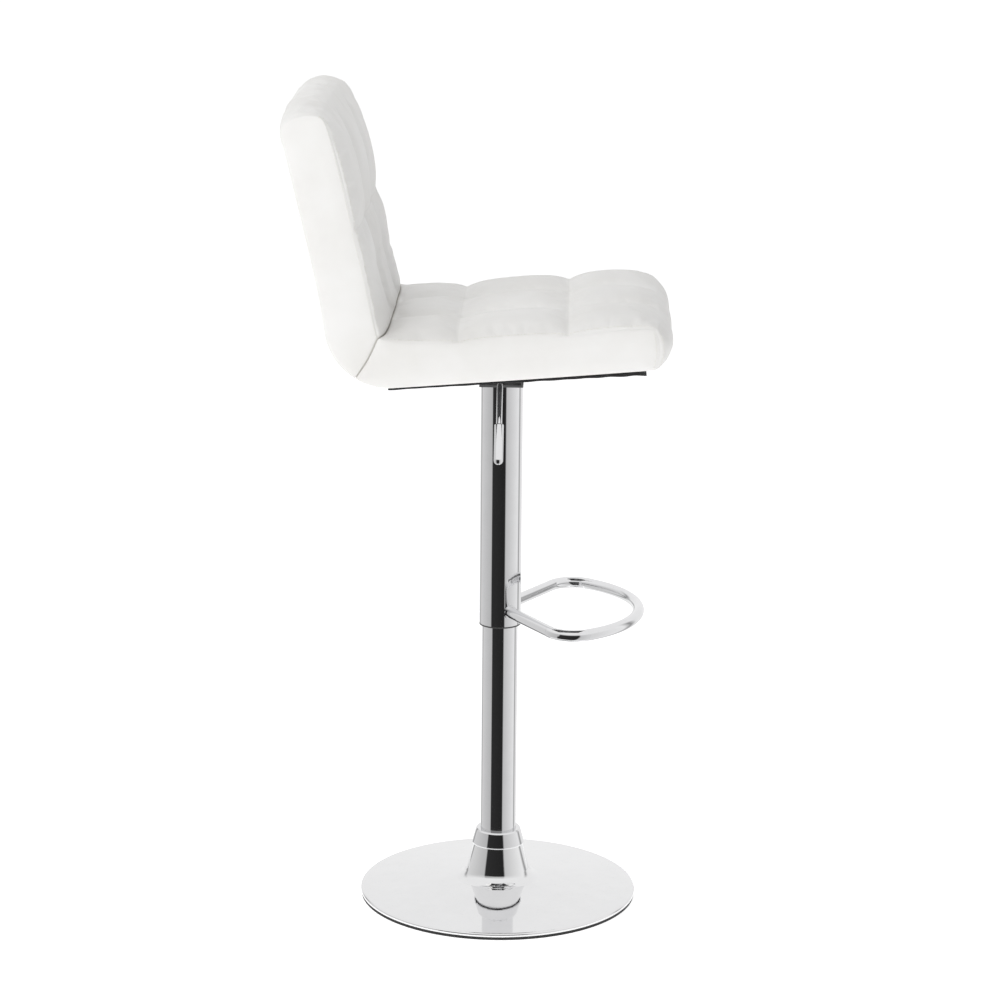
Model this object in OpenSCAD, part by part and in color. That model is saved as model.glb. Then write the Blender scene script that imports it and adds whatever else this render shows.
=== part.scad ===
// Adjustable swivel bar stool on a gas spring column.
// Origin: column axis at floor level. +Z is up, the sitter faces -Y, and the sitter's right is -X.
// The stool is drawn fully raised; the seat, sleeve and footrest come down by "stroke".

/* [Base] */
// Outer diameter of the base disc
base_d = 390; // [340:5:480]
// Top of the trumpet-shaped neck above the floor
neck_h = 74; // [66:1:90]
// Thickness of the spun base sheet
base_t = 1.5; // [1:0.25:2]
// Height of the cover ring above the neck
collar_h = 22; // [14:1:30]
// Diameter of the weight inside the base
ballast_d = 280; // [200:5:300]
// Thickness of the weight inside the base
ballast_t = 5; // [3:1:6]
// Visible height of the rubber ring on the floor
floor_ring_h = 3; // [2:0.5:4]

/* [Column] */
// Outer diameter of the column tube
tube_d = 50; // [46:1:60]
// Wall of the column tube
tube_t = 1.5; // [1:0.25:2.5]
// Gap between the column tube and the lift sleeve, measured on the radius
sleeve_gap = 2.5; // [1.5:0.1:4]
// Wall of the lift sleeve
sleeve_t = 1.5; // [1:0.25:2]
// How far the raised sleeve still covers the column tube
sleeve_overlap = 98; // [60:1:120]
// Height adjustment
stroke = 210; // [150:5:260]

/* [Gas spring] */
// Outer diameter of the pressure tube
cylinder_d = 28; // [26:0.5:32]
// Wall of the pressure tube
cylinder_t = 2; // [1.5:0.25:3]
// Diameter of the piston rod
rod_d = 10; // [8:0.5:12]

/* [Footrest] */
// Diameter of the footrest tube
foot_tube_d = 16; // [14:0.5:22]
// Height of the footrest's centre above the sleeve's lower end
foot_rise = 23; // [16:1:60]
// Side and forward distance of each corner bend's centre from the column axis
foot_corner = 102; // [85:1:125]
// Radius of the corner bends, on the tube's centre line
foot_corner_r = 36; // [28:1:42]
// Forward reach of the footrest's centre line
foot_reach = 193; // [180:1:235]

/* [Seat] */
// Underside of the seat board above the floor at the column axis, fully raised
seat_z = 783; // [740:1:950]
// Width of the seat and back
seat_w = 410; // [340:5:500]
// From the column axis to the front of the seat cushion
seat_front = 226; // [200:1:275]
// From the column axis to the corner where the seat and back lines meet
seat_rear = 213; // [190:1:260]
// Thickness of the seat cushion with its board
seat_t = 76; // [64:1:95]
// Seat's upward slope to the front
seat_tilt = 4.6; // [0:0.2:8]
// Back's lean, measured from square to the seat
back_lean = 7.45; // [2:0.05:14]
// Length of the straight part of the back
back_len = 288; // [240:1:380]
// Thickness of the back cushion with its board
back_t = 78; // [62:1:84]
// Radius of the outer bend between seat and back
bend_r = 85; // [84:1:100]
// Thickness of the bent plywood shell
board_t = 12; // [9:1:15]

/* [Lever] */
// Diameter of the lever rod
lever_d = 8; // [6:0.5:10]
// Sideways reach of the lever's tip
lever_reach = 180; // [150:1:200]
// Drop of the lever's tip below its straight part
lever_drop = 94; // [60:1:120]
// Diameter of the lever's grip
grip_d = 12.5; // [11:0.5:16]
// Length of the lever's grip
grip_len = 56; // [40:1:64]

/* [Hidden] */
$fn = 96;

// Clearances
run_fit = 0.05;    // radial, shafts that turn or slide in their bores
loose_fit = 0.3;   // radial, parts that pass each other
weld_w = 0.8;       // hair-thin beads over the joins inside one piece
weld_rise = 0.04;
disc_weld_rise = 0.03;
stop_gap = 8;      // between the sleeve's plug and the guide bush when fully lowered

// Radii
tube_r = tube_d / 2;
bore_r = tube_r - tube_t;
sleeve_bore_r = tube_r + sleeve_gap;
sleeve_r = sleeve_bore_r + sleeve_t;
cylinder_r = cylinder_d / 2;
cylinder_bore_r = cylinder_r - cylinder_t;
rod_r = rod_d / 2;

// Base
rim_r = base_d / 2;
bead_r = 3.5;
neck_gap = 8.7;     // radial, from the tube to the neck's top
neck_r = tube_r + neck_gap;
cone_slope = 6;
neck_slope = 75;
neck_lip = 0.6;      // the flange in the neck's top stops this far inside the neck's outer edge
collar_ring = 6.7;   // radial, the ring at the collar's top
bead_c = [rim_r - bead_r, floor_ring_h + bead_r];
// A fillet joins the steep neck to the shallow cone. Its centre is as far from both outer faces
fillet_r = 17.6;
cone_n = [sin(cone_slope), cos(cone_slope)];
neck_n = [sin(neck_slope), cos(neck_slope)];
cone_far = fillet_r + (bead_c + [0, bead_r]) * cone_n;
neck_far = fillet_r + [neck_r, neck_h] * neck_n;
fillet_c = [neck_far * cone_n.y - cone_far * neck_n.y, cone_far * neck_n.x - neck_far * cone_n.x]
    / sin(neck_slope - cone_slope);
cone_len = (bead_c[0] - (fillet_c[0] - fillet_r * sin(cone_slope))) / cos(cone_slope);
neck_len = norm(fillet_c - fillet_r * neck_n - [neck_r, neck_h]);
collar_top = neck_h + collar_h;
ballast_z = 7;
socket_z = ballast_z + ballast_t;
socket_t = 3;
socket_flange_r = tube_r + 37;
ballast_bore_r = tube_r + 5;
ballast_screw_pcr = tube_r + 23;
ballast_screw_r = 3;

// Thrust bearing at the foot of the column
end_plate_t = 4;
race_t = 2;
race_r = rod_r + 11;
ball_r = 2.4;
ball_gap = 0.2;
ball_count = 10;
ball_pcr = rod_r + 6;
lower_race_z = socket_z + end_plate_t;
ball_z = lower_race_z + race_t + ball_gap + ball_r;
upper_race_z = ball_z + ball_r + ball_gap;
bump_z = upper_race_z + race_t;
bump_h = 14;
rod_foot_z = 5;
clip_z = socket_z - 3;

// Seat mechanism, from the board down
cover_t = 1.5;
plate_t = 3;
plate_w = 200;
plate_d = 160;
plate_drop = cover_t + plate_t;
lever_below_board = 23;
web_below_board = 41;
lever_z = seat_z - lever_below_board;
web_z = seat_z - web_below_board;
web_t = 3;
bracket_w = 60;
bracket_x0 = -45;
bracket_x1 = 35;
plug_len = 30;
plug_z = web_z - plug_len;
socket_bore_r = cylinder_r - 0.4;
taper_top_r = cylinder_r - 1;
socket_r = cylinder_r + 4;
valve_top_z = web_z + web_t;
button_r = 3;
button_top_z = lever_z - lever_d / 2 - 0.5;
button_foot_z = web_z - 7;

// Column heights, fully raised
tube_top = plug_z - stroke - stop_gap;
sleeve_z = tube_top - sleeve_overlap;
bush_len = 70;
bush_flange_t = 3;
cylinder_z = bump_z + bump_h + 5 + stroke;
cylinder_top = plug_z - 4;
guide_z = cylinder_z + 2;
guide_h = 18;
seal_h = 6;
piston_z = guide_z + guide_h + seal_h + 5;
piston_h = 14;

// Footrest, all on its centre line in the horizontal plane: a = forward, b = sideways
foot_z = sleeve_z + foot_rise;
foot_r = foot_tube_d / 2;
foot_wall = 1.5;
foot_start = foot_r * 2;
// The front arc runs tangent to both corner bends
front_r = (pow(foot_corner, 2) + pow(foot_reach - foot_corner, 2) - pow(foot_corner_r, 2))
    / (2 * (foot_reach - foot_corner - foot_corner_r));
front_a = foot_reach - front_r;
corner_dist = foot_corner * sqrt(2);
leg_angle = 45 + asin(foot_corner_r / corner_dist);
leg_len = sqrt(pow(corner_dist, 2) - pow(foot_corner_r, 2));
front_half_angle = atan2(foot_corner, foot_corner - front_a);

// Upholstery, in the side plane: u = forward along the board, w = square to the board
skin_t = 8;
corner_angle = 90 + back_lean;
shell_r = bend_r + 10;
skin_c = [bend_r / tan(corner_angle / 2) - seat_rear, bend_r];
shell_c = [shell_r / tan(corner_angle / 2) - seat_rear + skin_t / cos(back_lean), shell_r];
shell_side = 15;    // padding beyond the board's side edges
shell_nose = 36;    // padding in front of the board
shell_crown = 14;   // padding over the board's top edge
shell_w = seat_w - 2 * shell_side;
shell_front = seat_front - shell_nose;
shell_len = back_len - shell_crown;
seam_lean = 42;
// Where the back's front face meets the seat's top
crease_w = seat_t - 10;
crease = [skin_c.x + (back_t - bend_r + (bend_r - crease_w) * sin(back_lean)) / cos(back_lean), crease_w];
bolt_x = 75;
bolt_u = 50;
bolt_r = 3;
staple_w = 10;
staple_wire = 0.8;
staple_flat = 1.2;
staple_leg = 6.5;

// Lever
pivot_x = -22;
pin_r = 3;
eye_r = 7;
eye_w = 12;
lever_bend_r = 16;
lever_angle = 59;
lever_straight = lever_reach - lever_drop / tan(lever_angle);
lever_tangent = lever_bend_r * tan(lever_angle / 2);
bent_len = lever_drop / sin(lever_angle);
grip_socket = 12;

// ---- helpers ----

// A straight or stepped ring about the column axis
module ring(z, h, r_out, r_in) {
    translate([0, 0, z]) difference() {
        cylinder(h = h, r = r_out);
        translate([0, 0, -1]) cylinder(h = h + 2, r = r_in);
    }
}

// Hair-thin bead where a bend of radius r meets its neighbour, across local Z
module weld_bead(r) {
    cylinder(h = weld_w, r = r + weld_rise, center = true);
}

// Pie slice from angle a0 to a1, under 180 degrees, reaching past radius r
module slice(r, a0, a1) {
    mid = (a0 + a1) / 2;
    polygon([[0, 0], 2 * r * [cos(a0), sin(a0)], 2 * r * [cos(mid), sin(mid)], 2 * r * [cos(a1), sin(a1)]]);
}

// Stands a side-plane drawing up in the seat's tilted frame and gives it a width
module side_extrude(width) {
    translate([0, 0, seat_z]) rotate([90, 0, -90]) rotate([0, 0, seat_tilt])
        linear_extrude(height = width, center = true) children();
}

// Places children in the seat's tilted frame: x sideways, -y forward, z square to the board
module on_board() {
    translate([0, 0, seat_z]) rotate([-seat_tilt, 0, 0]) children();
}

// Repeats children at the four seat bolts
module at_bolts() {
    for (x = [-bolt_x, bolt_x], u = [-bolt_u, bolt_u]) on_board() translate([x, -u, 0]) children();
}

// Repeats children at the ballast screws
module at_ballast_screws() {
    for (a = [45:90:315]) rotate([0, 0, a]) translate([ballast_screw_pcr, 0, 0]) children();
}

// ---- base ----

module base_profile() {
    intersection() {
        difference() {
            translate(fillet_c) circle(fillet_r + base_t);
            translate(fillet_c) circle(fillet_r);
        }
        translate(fillet_c) slice(fillet_r + base_t, 270 - neck_slope, 270 - cone_slope);
    }
    translate(fillet_c) rotate(-neck_slope) translate([-neck_len, -fillet_r - base_t]) square([neck_len, base_t]);
    translate(fillet_c) rotate(-cone_slope) translate([0, -fillet_r - base_t]) square([cone_len, base_t]);
    // hair-thin beads where the fillet meets the neck and the cone
    for (slope = [neck_slope, cone_slope])
        translate(fillet_c) rotate(-slope) translate([0, -fillet_r - base_t / 2])
            square([weld_w, base_t + 2 * disc_weld_rise], center = true);
    translate(bead_c) circle(bead_r);
    translate([tube_r + run_fit, neck_h - base_t]) square([neck_gap - neck_lip, base_t]);
}

module base_disc() {
    color("silver") rotate_extrude($fn = 192) base_profile();
}

module floor_ring() {
    color("#1c1c1c") rotate_extrude($fn = 192) {
        translate([rim_r - 10, 0]) square([8.5, floor_ring_h]);
        translate([rim_r - 10, 0]) square([3 - run_fit, floor_ring_h + 4]);
    }
}

module ballast_plate() {
    color("dimgray") difference() {
        ring(ballast_z, ballast_t, ballast_d / 2, ballast_bore_r);
        at_ballast_screws() cylinder(h = socket_z + 1, r = ballast_screw_r);
    }
}

module base_socket() {
    color("gray") difference() {
        union() {
            ring(socket_z, neck_h - base_t - socket_z, tube_r + socket_t, tube_r);
            ring(socket_z, socket_t, socket_flange_r, tube_r);
        }
        at_ballast_screws() translate([0, 0, socket_z - 1]) cylinder(h = socket_t + 2, r = ballast_screw_r);
    }
}

module ballast_screws() {
    color("gray") at_ballast_screws() {
        translate([0, 0, ballast_z - 3]) cylinder(h = 3, r = 5);
        translate([0, 0, ballast_z - 1]) cylinder(h = socket_t + ballast_t + 3, r = ballast_screw_r);
    }
}

module base_collar() {
    top_r = tube_r + collar_ring;
    skirt_r = neck_r + 3;
    wall = 1.5;
    chamfer = 2;
    color("silver") rotate_extrude() difference() {
        polygon([
            [tube_r + run_fit, neck_h], [skirt_r, neck_h], [skirt_r, neck_h + wall],
            [top_r, collar_top - chamfer], [top_r - wall, collar_top], [tube_r + run_fit, collar_top],
        ]);
        polygon([
            [tube_r - 1, neck_h - 1], [skirt_r - wall, neck_h - 1], [skirt_r - wall, neck_h + wall],
            [top_r - wall, collar_top - chamfer - wall], [tube_r - 1, collar_top - chamfer - wall],
        ]);
    }
}

// ---- column ----

module outer_tube() {
    color("silver") ring(socket_z, tube_top - socket_z, tube_r, bore_r);
}

module tube_end_plate() {
    color("gray") ring(socket_z, end_plate_t, bore_r, rod_r + 1);
}

module guide_bush() {
    color("#202020") union() {
        ring(tube_top - bush_len, bush_len, bore_r, cylinder_r + run_fit);
        ring(tube_top, bush_flange_t, tube_r - 0.2, cylinder_r + run_fit);
    }
}

module lower_race() {
    color("lightgray") ring(lower_race_z, race_t, race_r, rod_r + 1);
}

module upper_race() {
    color("lightgray") ring(upper_race_z, race_t, race_r, rod_r);
}

module at_balls() {
    for (i = [0:ball_count - 1]) rotate([0, 0, i * 360 / ball_count]) translate([ball_pcr, 0, ball_z])
        children();
}

module ball_cage() {
    cage_t = 2;
    color("#d8d2c0") difference() {
        ring(ball_z - cage_t / 2, cage_t, race_r - 1, rod_r + 2);
        at_balls() cylinder(h = cage_t + 2, r = ball_r + run_fit, center = true, $fn = 32);
    }
}

module bearing_balls() {
    color("lightgray") at_balls() sphere(ball_r, $fn = 32);
}

module bump_stop() {
    color("#1c1c1c") ring(bump_z, bump_h, rod_r + 9, rod_r);
}

module rod_clip() {
    color("gray") ring(clip_z, 1.5, rod_r + 4, rod_r);
}

// ---- gas spring ----

module piston_rod() {
    color("lightgray") translate([0, 0, rod_foot_z]) cylinder(h = piston_z + piston_h - 2 - rod_foot_z, r = rod_r);
}

module seal_groove(r_in, r_out) {
    ring(piston_z + 5, 4, r_out, r_in);
}

module piston() {
    groove_r = cylinder_bore_r - 2.5;
    color("gray") difference() {
        ring(piston_z, piston_h, cylinder_bore_r - run_fit, rod_r);
        seal_groove(groove_r, cylinder_r);
    }
}

module piston_seal() {
    color("#1c1c1c") seal_groove(cylinder_bore_r - 2.5, cylinder_bore_r - 0.02);
}

module pressure_tube() {
    color("#303030") ring(cylinder_z, cylinder_top - cylinder_z, cylinder_r, cylinder_bore_r);
}

module rod_guide() {
    color("#d8d2c0") ring(guide_z, guide_h, cylinder_bore_r, rod_r + run_fit);
}

module rod_seal() {
    color("#1c1c1c") ring(guide_z + guide_h, seal_h, cylinder_bore_r, rod_r + run_fit);
}

module taper(clearance) {
    translate([0, 0, cylinder_top])
        cylinder(h = valve_top_z - cylinder_top, r1 = socket_bore_r + clearance, r2 = taper_top_r + clearance);
}

module valve_housing() {
    color("gray") difference() {
        union() {
            taper(0);
            translate([0, 0, cylinder_top - 20]) cylinder(h = 20, r = cylinder_bore_r);
        }
        translate([0, 0, button_foot_z - 5])
            cylinder(h = valve_top_z - button_foot_z + 6, r = button_r + run_fit, $fn = 48);
    }
}

module valve_button() {
    color("#b02020") translate([0, 0, button_foot_z])
        cylinder(h = button_top_z - button_foot_z, r = button_r, $fn = 48);
}

// ---- seat mechanism ----

module plate_socket() {
    color("#1c1c1c") difference() {
        translate([0, 0, plug_z]) cylinder(h = web_z - plug_z, r = socket_r);
        taper(0);
    }
}

module mechanism_bracket() {
    wall_top = seat_z + 20;
    color("#1c1c1c") difference() {
        translate([bracket_x0, -bracket_w / 2, web_z]) cube([bracket_x1 - bracket_x0, bracket_w, wall_top - web_z]);
        translate([bracket_x0 - 1, web_t - bracket_w / 2, web_z + web_t])
            cube([bracket_x1 - bracket_x0 + 2, bracket_w - 2 * web_t, wall_top]);
        on_board() translate([-plate_w, -plate_d, -plate_drop]) cube([2 * plate_w, 2 * plate_d, 100]);
        taper(0);
        translate([pivot_x, 0, lever_z]) rotate([90, 0, 0]) cylinder(h = bracket_w + 2, r = pin_r, center = true);
    }
}

module seat_plate() {
    color("#1c1c1c") difference() {
        on_board() translate([0, 0, -plate_drop]) linear_extrude(plate_t) difference() {
            square([plate_w, plate_d], center = true);
            for (i = [0:3]) rotate([0, 0, 45 + 90 * i])
                translate([norm([plate_w, plate_d]) / 2 + 2, 0]) square(30, center = true);
        }
        at_bolts() cylinder(h = 30, r = bolt_r + 0.25, center = true, $fn = 32);
    }
}

module mounting_bolts() {
    color("gray") at_bolts() {
        translate([0, 0, -plate_drop - 1.6 - 4]) cylinder(h = 4, r = 5.5, $fn = 6);
        translate([0, 0, -plate_drop - 2]) cylinder(h = plate_drop + board_t, r = bolt_r, $fn = 32);
    }
}

module bolt_washers() {
    color("gray") at_bolts() translate([0, 0, -plate_drop - 1.6]) difference() {
        cylinder(h = 1.6, r = 7, $fn = 48);
        translate([0, 0, -1]) cylinder(h = 4, r = bolt_r + 0.2, $fn = 32);
    }
}

module tee_nut(bolt_hole) {
    barrel_r = bolt_r + 1;
    difference() {
        union() {
            cylinder(h = board_t, r = barrel_r, $fn = 32);
            translate([0, 0, board_t]) cylinder(h = 1.2, r = 9, $fn = 48);
        }
        if (bolt_hole) translate([0, 0, -1]) cylinder(h = board_t + 4, r = bolt_r, $fn = 32);
    }
}

module tee_nuts() {
    color("gray") at_bolts() tee_nut(true);
}

// ---- sleeve and footrest ----

module leg_direction(side) {
    translate([0, 0, foot_z]) rotate([0, 0, -90 + side * leg_angle]) rotate([0, 90, 0]) children();
}

module lift_sleeve() {
    color("silver") difference() {
        ring(sleeve_z + 2, web_z - sleeve_z - 2, sleeve_r, sleeve_bore_r);
        for (side = [-1, 1]) leg_direction(side) cylinder(h = 2 * sleeve_r, r = foot_r - 2);
    }
}

module sleeve_plug() {
    color("#1c1c1c") ring(plug_z, 12, sleeve_bore_r, socket_r);
}

module sleeve_guide_ring() {
    color("#151515") union() {
        ring(sleeve_z + 2, 12, sleeve_bore_r, tube_r + loose_fit);
        ring(sleeve_z, 2, sleeve_r, tube_r + loose_fit);
    }
}

module foot_tube(r) {
    // the forward direction is -Y
    for (side = [-1, 1]) leg_direction(side) translate([0, 0, foot_start]) cylinder(h = leg_len - foot_start, r = r);
    for (side = [-1, 1]) leg_direction(side) translate([0, 0, leg_len]) weld_bead(r);
    translate([0, 0, foot_z]) rotate([0, 0, -90]) {
        translate([front_a, 0, 0]) rotate([0, 0, -front_half_angle])
            rotate_extrude(angle = 2 * front_half_angle) translate([front_r, 0]) circle(r);
        for (side = [-1, 1]) translate([foot_corner, side * foot_corner, 0]) {
            rotate([0, 0, side > 0 ? front_half_angle : -leg_angle - 90])
                rotate_extrude(angle = leg_angle + 90 - front_half_angle)
                    translate([foot_corner_r, 0]) circle(r);
            rotate([0, 0, side * front_half_angle]) translate([foot_corner_r, 0, 0]) rotate([90, 0, 0])
                weld_bead(r);
        }
    }
}

module footrest() {
    color("silver") difference() {
        foot_tube(foot_r);
        foot_tube(foot_r - foot_wall);
        translate([0, 0, foot_z]) cylinder(h = 3 * foot_r, r = sleeve_r, center = true);
    }
}

module footrest_collars() {
    color("silver") difference() {
        for (side = [-1, 1]) leg_direction(side) cylinder(h = sleeve_r + 2.2, r = foot_r + 1.6);
        for (side = [-1, 1]) leg_direction(side) cylinder(h = 2 * sleeve_r, r = foot_r);
        translate([0, 0, foot_z]) cylinder(h = 40, r = sleeve_r, center = true);
    }
}

// ---- seat and back ----

// Points along an arc, and a point turned by the back's lean
function arc(c, r, a0, a1, steps) =
    [for (i = [0:steps]) c + r * [cos(a0 + (a1 - a0) * i / steps), sin(a0 + (a1 - a0) * i / steps)]];
function leaned(p) = [p.x * cos(back_lean) - p.y * sin(back_lean), p.x * sin(back_lean) + p.y * cos(back_lean)];

module shell_profile() {
    bend_end = 180 + back_lean;
    polygon(concat(
        [[shell_front, 0]],
        arc(shell_c, shell_r, 270, bend_end, 12),
        [shell_c + leaned([-shell_r, shell_len]), shell_c + leaned([board_t - shell_r, shell_len])],
        arc(shell_c, shell_r - board_t, bend_end, 270, 12),
        [[shell_front, board_t]]
    ));
}

module seat_shell() {
    color("burlywood") difference() {
        side_extrude(shell_w) shell_profile();
        at_bolts() translate([0, 0, -0.01]) tee_nut(false);
        at_staples() staple_legs();
    }
}

// The whole padded outline, before the seam divides it
module padded_profile() {
    nose_r = 22;
    lip_r = 26;
    rear_top_r = 24;
    front_top_r = 22;
    bend_end = 180 + back_lean;
    polygon(concat(
        arc([seat_front - nose_r, nose_r], nose_r, 0, -90, 8),
        arc(skin_c, bend_r, 270, bend_end, 12),
        arc(skin_c + leaned([rear_top_r - bend_r, back_len]), rear_top_r, bend_end, bend_end - 90, 8),
        arc(skin_c + leaned([back_t - front_top_r - bend_r, back_len - 8]), front_top_r, bend_end - 90, back_lean, 8),
        [crease],
        arc([seat_front - lip_r - 4, seat_t - lip_r], lip_r, 90, 0, 8)
    ));
}

// Everything in front of the seam, which runs down and back from the crease
module front_of_seam(shift) {
    translate(crease + [shift, 0]) rotate(-seam_lean) translate([0, -bend_r * 2])
        square([2 * (seat_front + seat_rear), 2 * back_len]);
}

module seat_cushion() {
    color("white") difference() {
        side_extrude(seat_w) intersection() {
            padded_profile();
            front_of_seam(loose_fit);
        }
        side_extrude(shell_w + 2 * run_fit) shell_profile();
        at_bolts() cylinder(h = board_t + 1.6, r = 9.2, $fn = 48);
        at_staples() staple_legs();
    }
}

module back_cushion() {
    color("white") difference() {
        side_extrude(seat_w) difference() {
            padded_profile();
            front_of_seam(0);
        }
        side_extrude(shell_w + 2 * run_fit) shell_profile();
    }
}

module dust_cover() {
    cover_w = seat_w - 16;
    cover_front = seat_front - 40;
    cover_rear = skin_c[0];
    color("#151515") difference() {
        on_board() translate([-cover_w / 2, -cover_front, -cover_t])
            cube([cover_w, cover_front - cover_rear, cover_t]);
        at_bolts() cylinder(h = 30, r = bolt_r + 0.25, center = true, $fn = 32);
        at_staples() staple_legs();
    }
}

// Repeats children at the staples along the dust cover's four edges
module at_staples() {
    edge_x = seat_w / 2 - 22;
    front_y = -(seat_front - 54);
    rear_y = -(skin_c[0] + 14);
    per_side = 9;
    per_end = 10;
    on_board() translate([0, 0, -cover_t]) {
        for (side = [-1, 1], i = [0:per_side - 1])
            translate([side * edge_x, front_y + (rear_y - front_y) * (i + 0.5) / per_side, 0])
                rotate([0, 0, 90]) children();
        for (y = [front_y, rear_y], i = [0:per_end - 1])
            translate([-edge_x + 2 * edge_x * (i + 0.5) / per_end, y, 0]) children();
    }
}

module staple_legs() {
    for (side = [-1, 1])
        translate([side * (staple_w - staple_wire) / 2, 0, staple_leg / 2])
            cube([staple_wire, staple_flat, staple_leg], center = true);
}

// Wire staples through the dust cover into the board
module staples() {
    color("silver") at_staples() {
        translate([0, 0, -staple_wire / 2]) cube([staple_w, staple_flat, staple_wire], center = true);
        translate([0, 0, -staple_wire / 2]) staple_legs();
    }
}

// ---- lever ----

module lever_pin() {
    color("lightgray") translate([pivot_x, 0, lever_z]) rotate([90, 0, 0])
        cylinder(h = bracket_w + 5, r = pin_r, center = true);
}

module lever_pin_clips() {
    color("gray") for (side = [-1, 1])
        translate([pivot_x, side * (bracket_w / 2 + 0.5 + loose_fit), lever_z]) rotate([90, 0, 0]) difference() {
            cylinder(h = 1, r = 5.5, center = true);
            cylinder(h = 2, r = pin_r, center = true);
        }
}

// Puts children at the lever's bend, with +Z running down along the bent part
module bent_part() {
    translate([-lever_straight, 0, lever_z]) rotate([0, 90 + lever_angle, 180]) children();
}

module lever_rod() {
    r = lever_d / 2;
    color("silver") difference() {
        union() {
            translate([8, 0, lever_z]) rotate([0, -90, 0]) {
                cylinder(h = 8 + lever_straight - lever_tangent, r = r);
                translate([0, 0, 8 + lever_straight - lever_tangent]) weld_bead(r);
            }
            translate([-lever_straight + lever_tangent, 0, lever_z - lever_bend_r]) rotate([90, 0, 180])
                rotate([0, 0, 90 - lever_angle]) rotate_extrude(angle = lever_angle)
                    translate([lever_bend_r, 0]) circle(r);
            bent_part() translate([0, 0, lever_tangent]) {
                cylinder(h = bent_len - lever_tangent - grip_len + grip_socket, r = r);
                weld_bead(r);
            }
            translate([pivot_x, 0, lever_z]) rotate([90, 0, 0]) cylinder(h = eye_w, r = eye_r, center = true);
        }
        translate([pivot_x, 0, lever_z]) rotate([90, 0, 0])
            cylinder(h = eye_w + 2, r = pin_r + run_fit, center = true);
    }
}

module lever_grip() {
    color("silver") bent_part() translate([0, 0, bent_len - grip_len]) difference() {
        rotate_extrude() grip_outline();
        translate([0, 0, -1]) cylinder(h = grip_socket + 1, r = lever_d / 2);
    }
}

// Half outline of the grip: a shouldered rod with a domed end
module grip_outline() {
    r = grip_d / 2;
    intersection() {
        union() {
            translate([0, 1.2]) square([r, grip_len - r - 1.2]);
            square([r - 1.2, grip_len - r]);
            translate([r - 1.2, 1.2]) circle(1.2, $fn = 32);
            translate([0, grip_len - r]) circle(r);
        }
        square([r, grip_len]);
    }
}

base_disc();
floor_ring();
ballast_plate();
base_socket();
ballast_screws();
base_collar();
outer_tube();
tube_end_plate();
guide_bush();
lower_race();
ball_cage();
bearing_balls();
piston_rod();
piston();
piston_seal();
upper_race();
bump_stop();
rod_clip();
pressure_tube();
rod_guide();
rod_seal();
valve_housing();
plate_socket();
mechanism_bracket();
seat_plate();
mounting_bolts();
bolt_washers();
tee_nuts();
lift_sleeve();
sleeve_plug();
sleeve_guide_ring();
footrest();
footrest_collars();
seat_shell();
seat_cushion();
back_cushion();
dust_cover();
staples();
lever_pin();
lever_pin_clips();
lever_rod();
lever_grip();
valve_button();
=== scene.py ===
import bmesh, bpy, math
import numpy as np
from mathutils import Matrix, Vector, noise


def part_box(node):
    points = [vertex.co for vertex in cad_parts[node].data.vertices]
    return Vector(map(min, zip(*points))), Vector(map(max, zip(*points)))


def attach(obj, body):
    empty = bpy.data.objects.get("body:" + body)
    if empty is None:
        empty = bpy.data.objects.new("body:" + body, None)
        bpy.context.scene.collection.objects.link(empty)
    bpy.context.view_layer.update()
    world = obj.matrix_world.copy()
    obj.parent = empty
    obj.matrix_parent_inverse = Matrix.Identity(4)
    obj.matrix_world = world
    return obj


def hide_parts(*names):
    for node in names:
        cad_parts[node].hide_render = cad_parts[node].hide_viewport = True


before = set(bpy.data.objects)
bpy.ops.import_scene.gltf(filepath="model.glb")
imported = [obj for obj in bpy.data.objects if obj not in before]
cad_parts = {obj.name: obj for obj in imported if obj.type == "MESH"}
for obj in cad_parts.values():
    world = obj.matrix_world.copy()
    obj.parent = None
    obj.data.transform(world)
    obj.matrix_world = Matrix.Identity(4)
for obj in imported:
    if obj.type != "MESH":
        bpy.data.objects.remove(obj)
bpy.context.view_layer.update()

MM = 0.001

# ---- the upholstery's own frames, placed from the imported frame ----
# Seat frame, in millimetres: u is forward along the board, w is square to it, and 0,0 is under the board
# on the column's axis.
# Back frame: x forward, y up along the back, centred on the outer bend between seat and back.
SEAT_TILT = math.radians(4.6)
BACK_LEAN = math.radians(7.45)
LEVER_TO_BOARD = 0.023
pin_low, pin_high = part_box("lever_pin")
SEAT_Z = (pin_low[2] + pin_high[2]) / 2 + LEVER_TO_BOARD
HALF_W = (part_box("seat_cushion")[1][0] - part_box("seat_cushion")[0][0]) / 2 / MM
BEND_R = 85.0
BEND_C = np.array([-138.3, BEND_R])
PANEL_SWELL = 3.1   # how far the side panels stand out from the sewn edge
SIDE_X = HALF_W - PANEL_SWELL - 0.4
RIM_SWELL = 0.5     # the same, at the panel's rim
PANEL_INSET = 1.6   # from the sewn edge to the panel's rim
CHANNEL_X = SIDE_X / 3
CREASE_SIDE = np.array([-154.0, 69.0])
CREASE_MID = np.array([-142.0, 70.0])
SEAM_FOOT = np.array([-188.0, 16.0])


def seat_to_world(x, p):
    """Millimetres in the seat frame to metres in the shared frame."""
    c, s = math.cos(SEAT_TILT), math.sin(SEAT_TILT)
    u, w = p[..., 0], p[..., 1]
    return np.stack([x * MM, -(u * c - w * s) * MM, SEAT_Z + (u * s + w * c) * MM], axis=-1)


def back_to_seat(p):
    c, s = math.cos(BACK_LEAN), math.sin(BACK_LEAN)
    p = np.asarray(p, float)
    return BEND_C + np.stack([p[..., 0] * c - p[..., 1] * s, p[..., 0] * s + p[..., 1] * c], axis=-1)


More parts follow.
